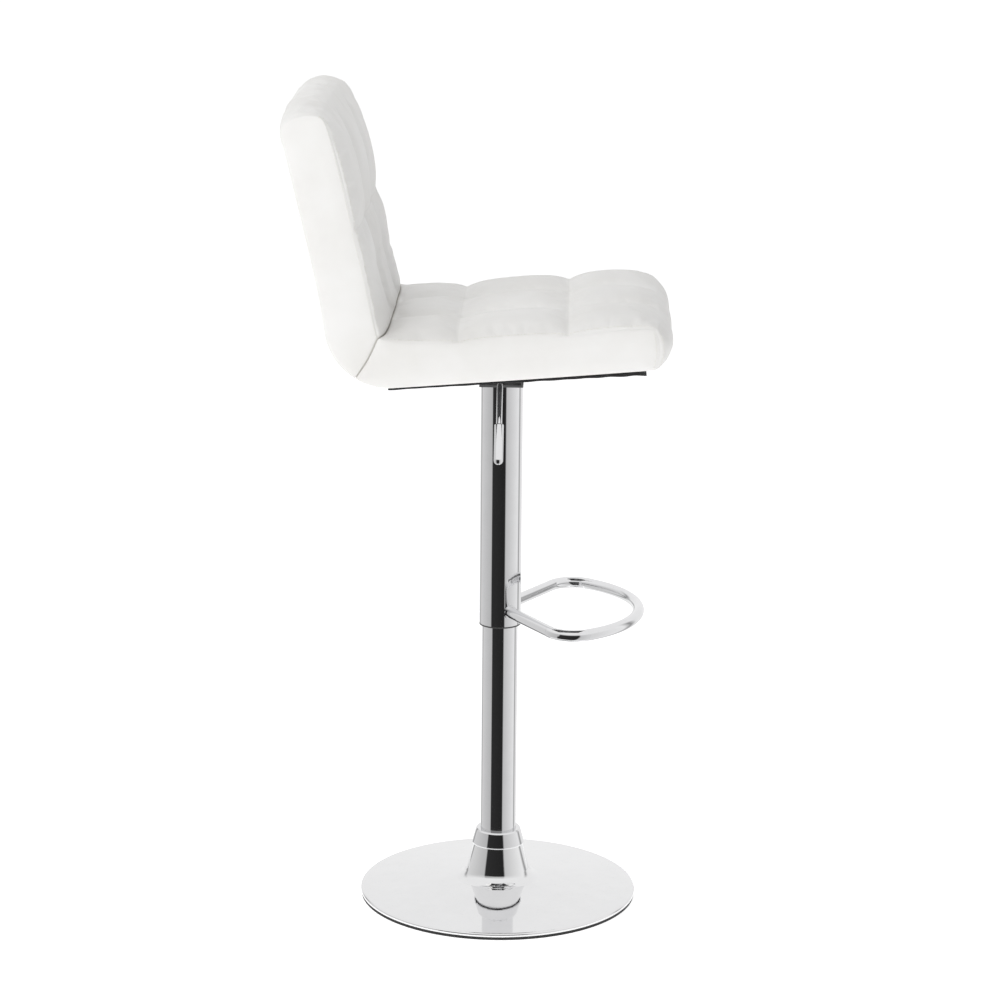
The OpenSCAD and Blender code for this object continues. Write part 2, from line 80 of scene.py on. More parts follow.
def seat_to_back(p):
    c, s = math.cos(BACK_LEAN), math.sin(BACK_LEAN)
    d = np.asarray(p, float) - BEND_C
    return np.array([d[0] * c + d[1] * s, -d[0] * s + d[1] * c])


def arc(radius, a0, a1, steps=8):
    a = np.radians(np.linspace(a0, a1, steps + 1))
    return [tuple(q) for q in np.stack([radius * np.cos(a), radius * np.sin(a)], axis=-1)]


def smooth_line(points, count):
    """A smooth curve through the points, as count + 1 evenly spaced ones."""
    p = np.array(points, float)
    if len(p) > 2:
        ext = np.vstack([2 * p[0] - p[1], p, 2 * p[-1] - p[-2]])
        fine = []
        for i in range(1, len(ext) - 2):
            a, b, c, d = ext[i - 1], ext[i], ext[i + 1], ext[i + 2]
            for t in np.linspace(0, 1, 24, endpoint=False):
                fine.append(0.5 * (2 * b + (c - a) * t + (2 * a - 5 * b + 4 * c - d) * t**2
                                   + (3 * b - a - 3 * c + d) * t**3))
        fine.append(p[-1])
        p = np.array(fine)
    run = np.concatenate([[0], np.cumsum(np.linalg.norm(np.diff(p, axis=0), axis=1))])
    at = np.linspace(0, run[-1], count + 1)
    return np.stack([np.interp(at, run, p[:, k]) for k in range(2)], axis=-1)


CELL_RINGS = 23                # rings across one column of cells
EDGE_RINGS = (0.0, 1.2, 3.2)   # rings close to the sewn edge, in from it


def stations():
    """Sideways places of the loft's rings, close together at the sewn edges, with one on each channel."""
    outer = SIDE_X - CHANNEL_X
    t = np.linspace(0, 1, CELL_RINGS)[1:]
    left = -SIDE_X + EDGE_RINGS[-1] + (outer - EDGE_RINGS[-1]) * t ** 1.15
    middle = np.linspace(-CHANNEL_X, CHANNEL_X, CELL_RINGS)[1:-1]
    half = np.concatenate([-SIDE_X + np.array(EDGE_RINGS), left])
    return np.concatenate([half, middle, -half[::-1]])


def bump(a):
    """1 in the middle of a cell and 0 on its channels, for a from -1 to 1."""
    return np.clip(1 - np.abs(a) ** 2.4, 0, 1) ** 0.55


def pillow(x, t, rows, fade):
    """How deep the sewn channels lie below the crown at a point.

    rows: (start, end, depth of the lengthwise channels, depth of the cross channel at the start and at the
    end) of each row of cells along t. fade(t) takes the channels out towards the ends.
    """
    outer_column = (np.abs(x) - CHANNEL_X) / (SIDE_X - CHANNEL_X) * 2 - 1
    column = np.where(np.abs(x) < CHANNEL_X, x / CHANNEL_X, outer_column)
    depth = np.zeros_like(x)
    for start, end, length_depth, start_depth, end_depth in rows:
        inside = (t >= start) & (t <= end)
        b = (t - start) / (end - start) * 2 - 1
        across = 1 - bump(column)
        across = np.where((np.abs(x) > CHANNEL_X) & (column > 0), 0, across)
        cross = np.where(b < 0, start_depth, end_depth) * (1 - bump(b))
        here = length_depth * across + cross - 0.45 * np.minimum(length_depth * across, cross)
        depth = np.where(inside, here, depth)
    return depth * fade(t)


def coons(bottom, front, top, rear):
    """Fills the flat side panel between its four edges."""
    na, nb = len(bottom) - 1, len(front) - 1
    out = np.zeros((na + 1, nb + 1, 2))
    for i in range(na + 1):
        s = i / na
        for j in range(nb + 1):
            t = j / nb
            out[i, j] = ((1 - t) * bottom[i] + t * top[i] + (1 - s) * rear[j] + s * front[j]
                         - (1 - s) * (1 - t) * bottom[0] - s * (1 - t) * bottom[-1]
                         - (1 - s) * t * top[0] - s * t * top[-1])
    return out


def make_pad(name, edges, rows, fade, place, crown, hard, reshape=None):
    """Lofts a closed padded form.

    edges: the outline's four runs in order, each a list of (count, side points, middle points). The side
    points are the sewn edge of the side panel and the middle ones the crown of the filled panels. The third
    run is quilted: a seat's top, or a back's front. crown gives the dome's two powers, hard(owner, along)
    how sharply the sewn edge shows, and reshape(x, points) may move the loft's points.
    """
    side, middle, owner, along, corner = [], [], [], [], []
    for k, parts in enumerate(edges):
        corner.append(len(side))
        done = 0
        for count, s, m in parts:
            side.extend(smooth_line(s, count)[:-1])
            middle.extend(smooth_line(m, count)[:-1])
            owner.extend([k] * count)
            along.extend([done + i / count for i in range(count)])
            done += 1
    side, middle = np.array(side), np.array(middle)
    owner, along = np.array(owner), np.array(along)
    n = len(side)
    xs = stations()
    dome = np.clip(1 - np.abs(xs / SIDE_X) ** crown[0], 0, 1) ** crown[1]
    loft = side[None] + (middle - side)[None] * dome[:, None, None]

    # outward normals of the outline, to push the channels in
    nxt, prv = np.roll(loft, -1, axis=1), np.roll(loft, 1, axis=1)
    tangent = nxt - prv
    tangent /= np.linalg.norm(tangent, axis=2, keepdims=True)
    normal = np.stack([tangent[..., 1], -tangent[..., 0]], axis=-1)
    quilt = owner == 2
    grid_x = np.repeat(xs[:, None], n, axis=1)
    grid_t = np.repeat(along[None], len(xs), axis=0)
    depth = pillow(grid_x, grid_t, rows, fade) * quilt[None] * dome[:, None] ** 0.25
    loft = loft - normal * depth[..., None]
    if reshape is not None:
        loft = reshape(grid_x, loft)

    co = [place(np.full(n, x), ring) for x, ring in zip(xs, loft)]
    verts = np.concatenate(co)
    faces = []
    for j in range(len(xs) - 1):
        for i in range(n):
            i2 = (i + 1) % n
            faces.append((j * n + i, j * n + i2, (j + 1) * n + i2, (j + 1) * n + i))
    # side panels: one ring just inside the sewn edge, then a filled patch that swells a little
    c0, c1, c2, c3 = corner
    panels = []
    for sign, ring0 in ((-1, 0), (1, (len(xs) - 1) * n)):
        centre = side.mean(axis=0)
        inner = side + (centre - side) / np.linalg.norm(centre - side, axis=1, keepdims=True) * PANEL_INSET
        b = inner[c0:c1 + 1]
        f = inner[c1:c2 + 1]
        t = inner[c2:c3 + 1][::-1]
        r = np.vstack([inner[c3:], inner[:1]])[::-1]
        patch = coons(b, f, t, r)
        na, nb = patch.shape[0] - 1, patch.shape[1] - 1
        start = len(verts)
        ii, jj = np.meshgrid(np.arange(na + 1), np.arange(nb + 1), indexing="ij")
        edge = np.minimum(np.minimum(ii, na - ii) / 5.0, np.minimum(jj, nb - jj) / 4.0)
        swell = RIM_SWELL + (PANEL_SWELL - RIM_SWELL) * np.clip(edge, 0, 1) ** 0.6
        px = sign * (SIDE_X + swell)
        verts = np.vstack([verts, place(px.ravel(), patch.reshape(-1, 2))])
        index = lambda i, j: start + i * (nb + 1) + j
        loop = [index(i, 0) for i in range(na)] + [index(na, j) for j in range(nb)]
        loop += [index(i, nb) for i in range(na, 0, -1)] + [index(0, j) for j in range(nb, 0, -1)]
        panel = [(index(i, j), index(i + 1, j), index(i + 1, j + 1), index(i, j + 1))
                 for i in range(na) for j in range(nb)]
        panel += [(ring0 + i, ring0 + (i + 1) % n, loop[(i + 1) % n], loop[i]) for i in range(n)]
        if sign < 0:
            panel = [q[::-1] for q in panel]
        faces += panel
        panels.append((start, len(verts)))
    mesh = bpy.data.meshes.new(name)
    mesh.from_pydata([tuple(v) for v in verts], [], faces)
    mesh.update()
    ob = bpy.data.objects.new(name, mesh)
    bpy.context.scene.collection.objects.link(ob)
    bm = bmesh.new()
    bm.from_mesh(mesh)
    bmesh.ops.recalc_face_normals(bm, faces=bm.faces)
    bm.to_mesh(mesh)
    bm.free()
    info = dict(xs=xs, n=n, along=along, owner=owner, depth=depth, panels=panels, hard=hard(owner, along))
    return ob, info


# ---- seat cushion outline, in the seat frame ----
seam_foot_back = seat_to_back(SEAM_FOOT)
bend_start = math.degrees(math.atan2(seam_foot_back[1], seam_foot_back[0])) % 360
bend_low = [tuple(BEND_C + np.array(q)) for q in arc(BEND_R, bend_start + math.degrees(BACK_LEAN), 270)]
seat_bottom_side = [tuple(SEAM_FOOT)] + bend_low[1:] + [(-60, 0), (60, 0), (207, 1)]
seat_bottom_mid = [tuple(SEAM_FOOT)] + bend_low[1:] + [(-60, 0), (60, 0), (209, 0.5)]
seat_front_side = [(207, 1), (211.5, 14), (213.5, 34), (210, 56)]
seat_front_mid = [(209, 0.5), (223, 6), (230.5, 19), (232.5, 33), (228.5, 46), (217, 60)]
seat_top_side = [
    (26, [(210, 56), (190, 57.5), (165, 57.5), (150, 57), (135, 56.5), (95, 55)]),
    (28, [(95, 55), (30, 54), (-50, 55)]),
    (20, [(-50, 55), (-110, 58), (-138, 63), tuple(CREASE_SIDE)]),
]
seat_top_mid = [
    [(217, 60), (205, 66.5), (190, 70.5), (160, 73.5), (125, 75), (95, 74.5)],
    [(95, 74.5), (50, 74.5), (0, 73.5), (-50, 70.5)],
    [(-50, 71.5), (-90, 71), (-122, 70.5), (-134, 69.5), tuple(CREASE_MID)],
]


def seam(crease):
    """The joint of seat and back, from their crease down to the outer bend."""
    return [tuple(crease), tuple((crease + SEAM_FOOT) / 2 + np.array([1.5, -1.5])), tuple(SEAM_FOOT)]


NA, NB = 74, 14
seat_edges = [
    [(NA, seat_bottom_side, seat_bottom_mid)],
    [(NB, seat_front_side, seat_front_mid)],
    [(c, s, m) for (c, s), m in zip(seat_top_side, seat_top_mid)],
    [(NB, seam(CREASE_SIDE), seam(CREASE_MID))],
]
# along a quilted edge t counts the parts: 0..1 front row, 1..2 middle row, 2..3 rear row
seat_rows = [(0.0, 1.0, 9.0, 0.0, 8.0), (1.0, 2.0, 8.0, 8.0, 6.5), (2.0, 3.0, 3.0, 6.5, 0.0)]
seat_fade = lambda t: np.clip(t / 0.16, 0, 1) ** 0.7


def seat_hard(owner, along):
    """How hard the sewn edge shows round the outline: it rolls over softly behind the front row."""
    return np.where(owner == 2, np.clip((1.0 - along) / 0.5, 0, 1), 1.0)


seat_cushion, seat_info = make_pad("seat_upholstery", seat_edges, seat_rows, seat_fade, seat_to_world,
                                   (6, 0.5), seat_hard)

# ---- back cushion outline, in the back frame ----
BACK_TOP = 303.0
TOP_ARCH = 4.0
NOTCH = 131.0


def arch_top(x, p):
    """Lowers the back's top towards its sides, so that it is gently arched."""
    share = np.clip((p[..., 1] - 150) / (BACK_TOP + 80 - 150), 0, 1) ** 2
    out = p.copy()
    out[..., 1] -= TOP_ARCH * share * (x / SIDE_X) ** 2
    return out


crease_s, crease_m = seat_to_back(CREASE_SIDE), seat_to_back(CREASE_MID)
T = BACK_TOP
outer_arc = arc(BEND_R, bend_start, 180)
back_outer_side = outer_arc + [(-82, 60), (-82.5, 150), (-84.5, T - 60), (-85.5, T - 34), (-81, T - 18)]
back_outer_mid = outer_arc + [(-83.5, 60), (-85, 150), (-87, T - 52), (-87.5, T - 24), (-82, T - 8)]
back_top_side = [(-81, T - 18), (-68, T - 12), (-50, T - 11), (-35, T - 14)]
back_top_mid = [(-82, T - 8), (-67, T - 1), (-50, T - 0.5), (-37, T - 4), (-27, T - 12)]
back_front_side = [
    (40, [(-35, T - 14), (-27, T - 19), (-23, T - 30), (-21, T - 50), (-18.5, T - 95), (-17, NOTCH)]),
    (34, [(-17, NOTCH), (-16.5, 70), (-17.5, 10), tuple(crease_s)]),
]
back_front_mid = [
    [(-27, T - 12), (-19, T - 26), (-13.5, T - 45), (-9, T - 75), (-5.5, T - 110), (-6.5, NOTCH)],
    [(-6.5, NOTCH), (-7, 100), (-10, 60), (-8, 20), tuple(crease_m)],
]
# outline order: seam, outer rear, top, quilted front; it is turned so the quilted edge is the third
to_seat = lambda pts: [tuple(q) for q in back_to_seat(np.array(pts))]
back_edges = [
    [(NA, to_seat(back_outer_side), to_seat(back_outer_mid))],
    [(NB, to_seat(back_top_side), to_seat(back_top_mid))],
    [(c, to_seat(s), to_seat(m)) for (c, s), m in zip(back_front_side, back_front_mid)],
    [(NB, seam(CREASE_SIDE), seam(CREASE_MID))],
]
back_rows = [(0.0, 1.0, 8.5, 0.0, 8.0), (1.0, 2.0, 8.0, 8.0, 0.0)]
back_fade = lambda t: np.clip(t / 0.22, 0, 1) ** 0.7 * np.clip((2.0 - t) / 0.15, 0, 1) ** 0.5
# this outline runs clockwise, so its normals point inwards: the channels are pushed the other way
back_rows = [(a, b, -c, -d, -e) for a, b, c, d, e in back_rows]


def back_hard(owner, along):
    """The top of the back has no sewn edge, and the rear one ends below it."""
    rear = np.where(owner == 0, np.clip((0.9 - along) / 0.1, 0, 1), 1.0)
    front = np.where(owner == 2, np.clip(along / 0.12, 0, 1), rear)
    return np.where(owner == 1, 0.0, front)


back_cushion, back_info = make_pad("back_upholstery", back_edges, back_rows, back_fade, seat_to_world,
                                   (5, 0.5), back_hard, arch_top)


# ---- cloth ----
def read_points(mesh):
    co = np.empty(len(mesh.vertices) * 3)
    mesh.vertices.foreach_get("co", co)
    return co.reshape(-1, 3)


def write_points(mesh, co):
    mesh.vertices.foreach_set("co", co.ravel())
    mesh.update()


def read_normals(mesh):
    n = np.empty(len(mesh.vertices) * 3)
    mesh.vertices.foreach_get("normal", n)
    return n.reshape(-1, 3)


PRESSURE = 2.6
SLACK = 0.012       # share by which the cover is cut larger than its pad
SWELL_CAP = 4.0     # furthest that a point may move
CLOTH_FRAMES = 18
PUCKER_HEIGHT = 2.2
PUCKER_REACH = 26.0
SEAM_PULL = 1.3     # how far the sewn edge is pulled in
SEAM_WIDTH = 3.0
ROW_LENGTH = 125.0  # about the length of one row of cells


def inflate(ob, pinned):
    """Blows the cover up against its seams with a cloth simulation, then applies the result."""
    mesh = ob.data
    before = read_points(mesh).copy()
    group = ob.vertex_groups.new(name="pin")
    group.add([int(i) for i in np.flatnonzero(pinned)], 1.0, "REPLACE")
    mod = ob.modifiers.new("cloth", "CLOTH")
    s = mod.settings
    s.quality = 5
    s.mass = 0.3
    s.tension_stiffness = s.compression_stiffness = 18
    s.shear_stiffness = 8
    s.bending_stiffness = 1.2
    s.use_pressure = True
    s.uniform_pressure_force = PRESSURE
    s.shrink_min = -SLACK
    s.vertex_group_mass = "pin"
    s.effector_weights.gravity = 0
    mod.collision_settings.use_collision = False
    scene = bpy.context.scene
    mod.point_cache.frame_start, mod.point_cache.frame_end = 1, CLOTH_FRAMES
    for f in range(1, CLOTH_FRAMES + 1):
        scene.frame_set(f)
    dg = bpy.context.evaluated_depsgraph_get()
    evaluated = ob.evaluated_get(dg).to_mesh()
    after = read_points(evaluated).copy()
    ob.evaluated_get(dg).to_mesh_clear()
    ob.modifiers.remove(mod)
    ob.vertex_groups.remove(group)
    scene.frame_set(1)
    move = after - before
    length = np.linalg.norm(move, axis=1, keepdims=True)
    move *= np.minimum(1, SWELL_CAP * MM / np.maximum(length, 1e-9))
    write_points(mesh, before + move)


def pin_mask(ob, info, free_edges):
    """Everything is held except the named edges, and on them the three rings at each sewn edge, the channel
    rings and the quilted run's row ends stay held; the side panels stay held as well.
    """
    n, xs = info["n"], info["xs"]
    held = np.ones((len(xs), n), bool)
    for k in free_edges:
        held[:, info["owner"] == k] = False
    held[:3] = held[-3:] = True
    whole = np.abs(info["along"] - np.round(info["along"])) < 1e-6
    held[:, whole & (info["owner"] == 2)] = True
    for x in (-CHANNEL_X, CHANNEL_X):
        held[np.argmin(np.abs(xs - x))] = True
    mask = np.ones(len(ob.data.vertices), bool)
    mask[:held.size] = held.ravel()
    return mask


def pucker(ob, info, seed):
    """Small gathers beside the sewn edges, which fade away from them, and a slight unevenness all over."""
    n, xs = info["n"], info["xs"]
    mesh = ob.data
    co, no = read_points(mesh), read_normals(mesh)
    quilt = info["owner"] == 2
    for j, x in enumerate(xs):
        to_edge = SIDE_X - abs(x)
        for i in np.flatnonzero(quilt):
            k = j * n + i
            t = info["along"][i]
            gather = noise.noise(Vector((seed + t * 17, x * 0.010, 3.1)))
            fine = noise.noise(Vector((seed + t * 46, x * 0.02, 7.7)))
            near = math.exp(-(to_edge / PUCKER_REACH) ** 2) * (1 - math.exp(-(to_edge / 2.5) ** 2))
            near *= info["hard"][i]
            soft = noise.noise(Vector((x * 0.021, t * 4.3, seed)))
            co[k] += no[k] * MM * (PUCKER_HEIGHT * near * (gather + 0.5 * fine) + 0.45 * soft)
    write_points(mesh, co)


def paint_crease_shade(ob, info):
    """Stores how close each point is to a channel or sewn edge, weighted by how deep the channel is sunk, as
    painted crease shade for the colour, and shades smooth.
    """
    n, xs = info["n"], info["xs"]
    mesh = ob.data
    value = np.zeros(len(mesh.vertices))
    lengthwise = np.exp(-((np.abs(xs) - CHANNEL_X) / SEAM_WIDTH) ** 2)
    whole = np.round(info["along"])
    crosswise = np.exp(-((info["along"] - whole) * ROW_LENGTH / SEAM_WIDTH) ** 2) * (whole > 0)
    # painted shade: deeper channels, the sewn edges and the whole seat-back joint are marked darker
    sunk = np.clip(np.abs(info["depth"]) / 4.0, 0, 1)
    grid = 0.5 * sunk * np.maximum(lengthwise[:, None], crosswise[None])
    edge = 0.45 * np.exp(-((SIDE_X - np.abs(xs)) / 0.9) ** 2)
    grid = np.maximum(grid, edge[:, None] * info["hard"])
    grid[:, info["owner"] == 3] = 1.0
    value[:grid.size] = grid.ravel()
    # the seam attribute holds this painted crease shade
    attribute = mesh.attributes.new("seam", "FLOAT", "POINT")
    attribute.data.foreach_set("value", value)
    mesh.shade_smooth()


def upholster(ob, info, free_edges, seed):
    """Fills a pad's cover, gathers it, pulls its sewn edges in and smooths it."""
    inflate(ob, pin_mask(ob, info, free_edges))
    pucker(ob, info, seed)
    paint_crease_shade(ob, info)
    n, xs = info["n"], info["xs"]
    mesh = ob.data
    co, no = read_points(mesh), read_normals(mesh)
    for j in (0, len(xs) - 1):
        ring = slice(j * n, (j + 1) * n)
        co[ring] -= no[ring] * (SEAM_PULL * MM * info["hard"])[:, None]
    write_points(mesh, co)
    sub = ob.modifiers.new("smooth", "SUBSURF")
    sub.levels = sub.render_levels = 1


upholster(seat_cushion, seat_info, (1, 2), 4.0)
upholster(back_cushion, back_info, (1, 2), 11.0)


# ---- stitches ----
def stitches(name, rows, pitch=0.0044, length=0.0031, radius=0.00042):
    """Rows of short thread stitches, each row a list of surface points with their normals."""
    verts, faces = [], []
    sides, rings = 6, 5
    for points, normals in rows:
        run = np.concatenate([[0], np.cumsum(np.linalg.norm(np.diff(points, axis=0), axis=1))])
        for at in np.arange(pitch, run[-1] - pitch, pitch):
            ends = at + np.array([-0.5, 0.5]) * length
            a, b = (np.array([np.interp(e, run, points[:, k]) for k in range(3)]) for e in ends)
            up = np.array([np.interp(at, run, normals[:, k]) for k in range(3)])
            up /= np.linalg.norm(up)
            along = (b - a) / np.linalg.norm(b - a)
            out = np.cross(along, up)
            start = len(verts)
            for r in range(rings):
                s = r / (rings - 1)
                rise = math.sin(math.pi * s)
                centre = a + (b - a) * s + up * radius * (1.1 * rise - 0.4)
                size = radius * (0.45 + 0.55 * rise ** 0.5)
                for q in range(sides):
                    angle = 2 * math.pi * q / sides
                    verts.append(centre + size * (math.cos(angle) * out + math.sin(angle) * up))
            for r in range(rings - 1):
                for q in range(sides):
                    q2 = (q + 1) % sides
                    faces.append((start + r * sides + q, start + r * sides + q2,
                                  start + (r + 1) * sides + q2, start + (r + 1) * sides + q))
            faces.append(tuple(start + q for q in range(sides))[::-1])
            faces.append(tuple(start + (rings - 1) * sides + q for q in range(sides)))
    mesh = bpy.data.meshes.new(name)
    mesh.from_pydata([tuple(v) for v in verts], [], faces)
    mesh.shade_smooth()
    ob = bpy.data.objects.new(name, mesh)
    bpy.context.scene.collection.objects.link(ob)
    return ob


def seam_rows(ob, info, owner, strip_ring=2, panel_share=0.55):
    """Two stitch rows beside each sewn edge of one outline run: one on the wrap, one on the side panel."""
    dg = bpy.context.evaluated_depsgraph_get()
    n, xs = info["n"], info["xs"]
    co, no = read_points(ob.data), read_normals(ob.data)
    picked = np.flatnonzero(info["owner"] == owner)
    rows = []
    for ring in (strip_ring, len(xs) - 1 - strip_ring):
        rows.append((co[ring * n + picked], no[ring * n + picked]))
    for start, end in info["panels"]:
        if owner == 2:
            a = np.array([start + i * (NB + 1) + NB for i in range(NA + 1)])
            b = a - 1
        else:
            a = np.array([start + NA * (NB + 1) + q for q in range(NB + 1)])
            b = a - (NB + 1)
        p = co[a] * (1 - panel_share) + co[b] * panel_share
        m = no[a] * (1 - panel_share) + no[b] * panel_share
        rows.append((p, m))
    return rows


back_stitches = stitches("back_stitching", seam_rows(back_cushion, back_info, 2))
seat_rows_of_stitches = seam_rows(seat_cushion, seat_info, 1) + seam_rows(seat_cushion, seat_info, 2)[:2]
seat_stitches = stitches("seat_stitching", seat_rows_of_stitches)


# ---- dust cover: a hemmed sheet stapled under the board, sagging a little between its staples ----
COVER_HALF = HALF_W - 8
COVER_FRONT, COVER_REAR = 194.0, -146.0
COVER_RIM = 16.0    # strip along the edges that droops between its staples
HEM = 9.0
HEM_LIFT = 1.3      # how far the turned-up hem lies above the sheet
PLATE_X, PLATE_U = 104.0, 84.0
PLATE_EASE = 40.0   # over this distance from the plate the sheet comes free


def make_dust_cover():
    def fold(lo, hi, count):
        """Places across the sheet with its hem turned up and in, as (place, layer)."""
        flat = [(p, 0.0) for p in np.linspace(lo + 1.5, hi - 1.5, count)]
        low = [(lo + HEM, HEM_LIFT), (lo + HEM / 2, HEM_LIFT), (lo + 0.8, 1.1), (lo, 0.6)]
        high = [(hi, 0.6), (hi - 0.8, 1.1), (hi - HEM / 2, HEM_LIFT), (hi - HEM, HEM_LIFT)]
        return low + flat + high

    across, lengthways = fold(-COVER_HALF, COVER_HALF, 72), fold(COVER_REAR, COVER_FRONT, 60)
    pts, uw = [], []
    for x, lx in across:
        for u, lu in lengthways:
            slack = min(max(abs(x) - PLATE_X, abs(u) - PLATE_U, 0) / PLATE_EASE, 1.0)
            rim_x = max(abs(x) - (COVER_HALF - COVER_RIM), 0) / COVER_RIM
            rim_u = max(u - (COVER_FRONT - COVER_RIM), 0) / COVER_RIM
            ripple = noise.noise(Vector((x * 0.012, u * 0.028, 1.3)))
            scallop = noise.noise(Vector((5.0 + x * 0.004, u * 0.045, 9.0)))
            drop = slack * (1.0 + 0.8 * ripple)
            drop += rim_x * (1.6 + 1.3 * scallop + 0.010 * max(u, 0)) + rim_u * (1.4 + 1.0 * ripple)
            uw.append((u, -0.9 - drop + max(lx, lu)))
            pts.append(x)
    verts = seat_to_world(np.array(pts), np.array(uw))
    nu = len(lengthways)
    faces = [(a * nu + b, (a + 1) * nu + b, (a + 1) * nu + b + 1, a * nu + b + 1)
             for a in range(len(across) - 1) for b in range(nu - 1)]
    mesh = bpy.data.meshes.new("dust_cover_cloth")
    mesh.from_pydata([tuple(v) for v in verts], [], faces)
    mesh.shade_smooth()
    ob = bpy.data.objects.new("dust_cover_cloth", mesh)
    bpy.context.scene.collection.objects.link(ob)
    thick = ob.modifiers.new("thickness", "SOLIDIFY")
    thick.thickness = 0.5 * MM
    thick.offset = 0
    return ob


dust_cover = make_dust_cover()


# ---- materials: every one is procedural ----
def new_material(name, base, rough, metallic=0.0):
    m = bpy.data.materials.new(name)
    m.use_nodes = True
    shader = m.node_tree.nodes["Principled BSDF"]
    shader.inputs["Base Color"].default_value = (*base, 1)
    shader.inputs["Roughness"].default_value = rough
    shader.inputs["Metallic"].default_value = metallic
    return m, m.node_tree, shader


def add(tree, kind, **values):
    node = tree.nodes.new(kind)
    for key, value in values.items():
        if key in node.inputs:
            node.inputs[key].default_value = value
        else:
            setattr(node, key, value)
    return node


def place_node(tree, stretch=(1, 1, 1)):
    coords = tree.nodes.new("ShaderNodeTexCoord")
    mapping = tree.nodes.new("ShaderNodeMapping")
    mapping.inputs["Scale"].default_value = stretch
    tree.links.new(coords.outputs["Object"], mapping.inputs["Vector"])
    return mapping.outputs["Vector"]


def noise_node(tree, vector, scale, detail=4.0, rough=0.55):
    node = add(tree, "ShaderNodeTexNoise", Scale=scale, Detail=detail, Roughness=rough)
    tree.links.new(vector, node.inputs["Vector"])
    return node.outputs["Fac"]


def remap(tree, value, low, high, a=0.3, b=0.7):
    node = tree.nodes.new("ShaderNodeMapRange")
    for key, v in (("From Min", a), ("From Max", b), ("To Min", low), ("To Max", high)):
        node.inputs[key].default_value = v
    tree.links.new(value, node.inputs["Value"])
    return node.outputs["Result"]


def mix_colour(tree, factor, dark, light):
    node = tree.nodes.new("ShaderNodeMix")
    node.data_type = "RGBA"
    tree.links.new(factor, node.inputs["Factor"])
    for socket, colour in ((node.inputs[6], dark), (node.inputs[7], light)):
        if isinstance(colour, tuple):
            socket.default_value = (*colour, 1)
        else:
            tree.links.new(colour, socket)
    return node.outputs[2]


def bump_node(tree, height, strength, distance, normal=None):
    node = add(tree, "ShaderNodeBump", Strength=strength, Distance=distance)
    tree.links.new(height, node.inputs["Height"])
    if normal is not None:
        tree.links.new(normal, node.inputs["Normal"])
    return node.outputs["Normal"]


def surface(name, dark, light, rough, metallic=0.0, scale=60.0, grain=900.0, bump=(0.1, 0.0002),
            stretch=(1, 1, 1), wear=None):
    """A procedural finish: slow colour variation, uneven roughness, fine grain, and lighter worn edges."""
    m, tree, shader = new_material(name, light, rough[0], metallic)
    v = place_node(tree, stretch)
    slow = noise_node(tree, v, scale, 5.0)
    fine = noise_node(tree, v, grain, 2.0)
    colour = mix_colour(tree, remap(tree, slow, 0, 1), dark, light)
    if wear is not None:
        geometry = tree.nodes.new("ShaderNodeNewGeometry")
        edge = remap(tree, geometry.outputs["Pointiness"], 0, 0.7, 0.52, 0.6)
        colour = mix_colour(tree, edge, colour, wear)
    tree.links.new(colour, shader.inputs["Base Color"])
    tree.links.new(remap(tree, slow, rough[0], rough[1]), shader.inputs["Roughness"])
    tree.links.new(bump_node(tree, fine, bump[0], bump[1]), shader.inputs["Normal"])
    return m


def leatherette():
    m, tree, shader = new_material("leatherette_white", (0.84, 0.83, 0.81), 0.42)
    v = place_node(tree)
    cells = add(tree, "ShaderNodeTexVoronoi", Scale=820.0, feature="DISTANCE_TO_EDGE")
    warp = add(tree, "ShaderNodeTexNoise", Scale=260.0, Detail=3.0)
    tree.links.new(v, warp.inputs["Vector"])
    moved = tree.nodes.new("ShaderNodeVectorMath")
    moved.operation = "MULTIPLY_ADD"
    moved.inputs[1].default_value = (0.0018,) * 3
    tree.links.new(warp.outputs["Color"], moved.inputs[0])
    tree.links.new(v, moved.inputs[2])
    tree.links.new(moved.outputs[0], cells.inputs["Vector"])
    slow = noise_node(tree, v, 9.0, 3.0)
    patch = noise_node(tree, v, 55.0, 4.0)
    colour = mix_colour(tree, remap(tree, slow, 0, 1), (0.80, 0.79, 0.765), (0.855, 0.85, 0.835))
    colour = mix_colour(tree, remap(tree, patch, 0, 0.22), colour, (0.87, 0.865, 0.85))
    # painted shade: the leatherette turns darker and warmer in the channels, along the sewn edges and in the
    # seat-back joint
    crease_shade_value = add(tree, "ShaderNodeAttribute", attribute_name="seam")
    painted_crease_shade = remap(tree, crease_shade_value.outputs["Fac"], 0, 0.55, 0.35, 1.0)
    colour = mix_colour(tree, painted_crease_shade, colour, (0.56, 0.545, 0.50))
    tree.links.new(colour, shader.inputs["Base Color"])
    tree.links.new(remap(tree, patch, 0.36, 0.50), shader.inputs["Roughness"])
    pores = remap(tree, cells.outputs["Distance"], 0, 1, 0.0, 0.16)
    first = bump_node(tree, pores, 0.16, 0.00025)
    folds = noise_node(tree, v, 120.0, 4.0, 0.6)
    tree.links.new(bump_node(tree, folds, 0.10, 0.0007, first), shader.inputs["Normal"])
    shader.inputs["Specular IOR Level"].default_value = 0.42
    return m


def chrome(name, base, low, high, smudge=0.02):
    m, tree, shader = new_material(name, base, low, 1.0)
    v = place_node(tree)
    marks = noise_node(tree, v, 34.0, 6.0, 0.65)
    fine = noise_node(tree, v, 420.0, 3.0)
    tree.links.new(remap(tree, marks, low, high, 0.35, 0.75), shader.inputs["Roughness"])
    shade = tuple(c * (1 - smudge * 2) for c in base)
    tree.links.new(mix_colour(tree, remap(tree, marks, 0, 1), base, shade), shader.inputs["Base Color"])
    tree.links.new(bump_node(tree, fine, 0.012, 0.0001), shader.inputs["Normal"])
    return m


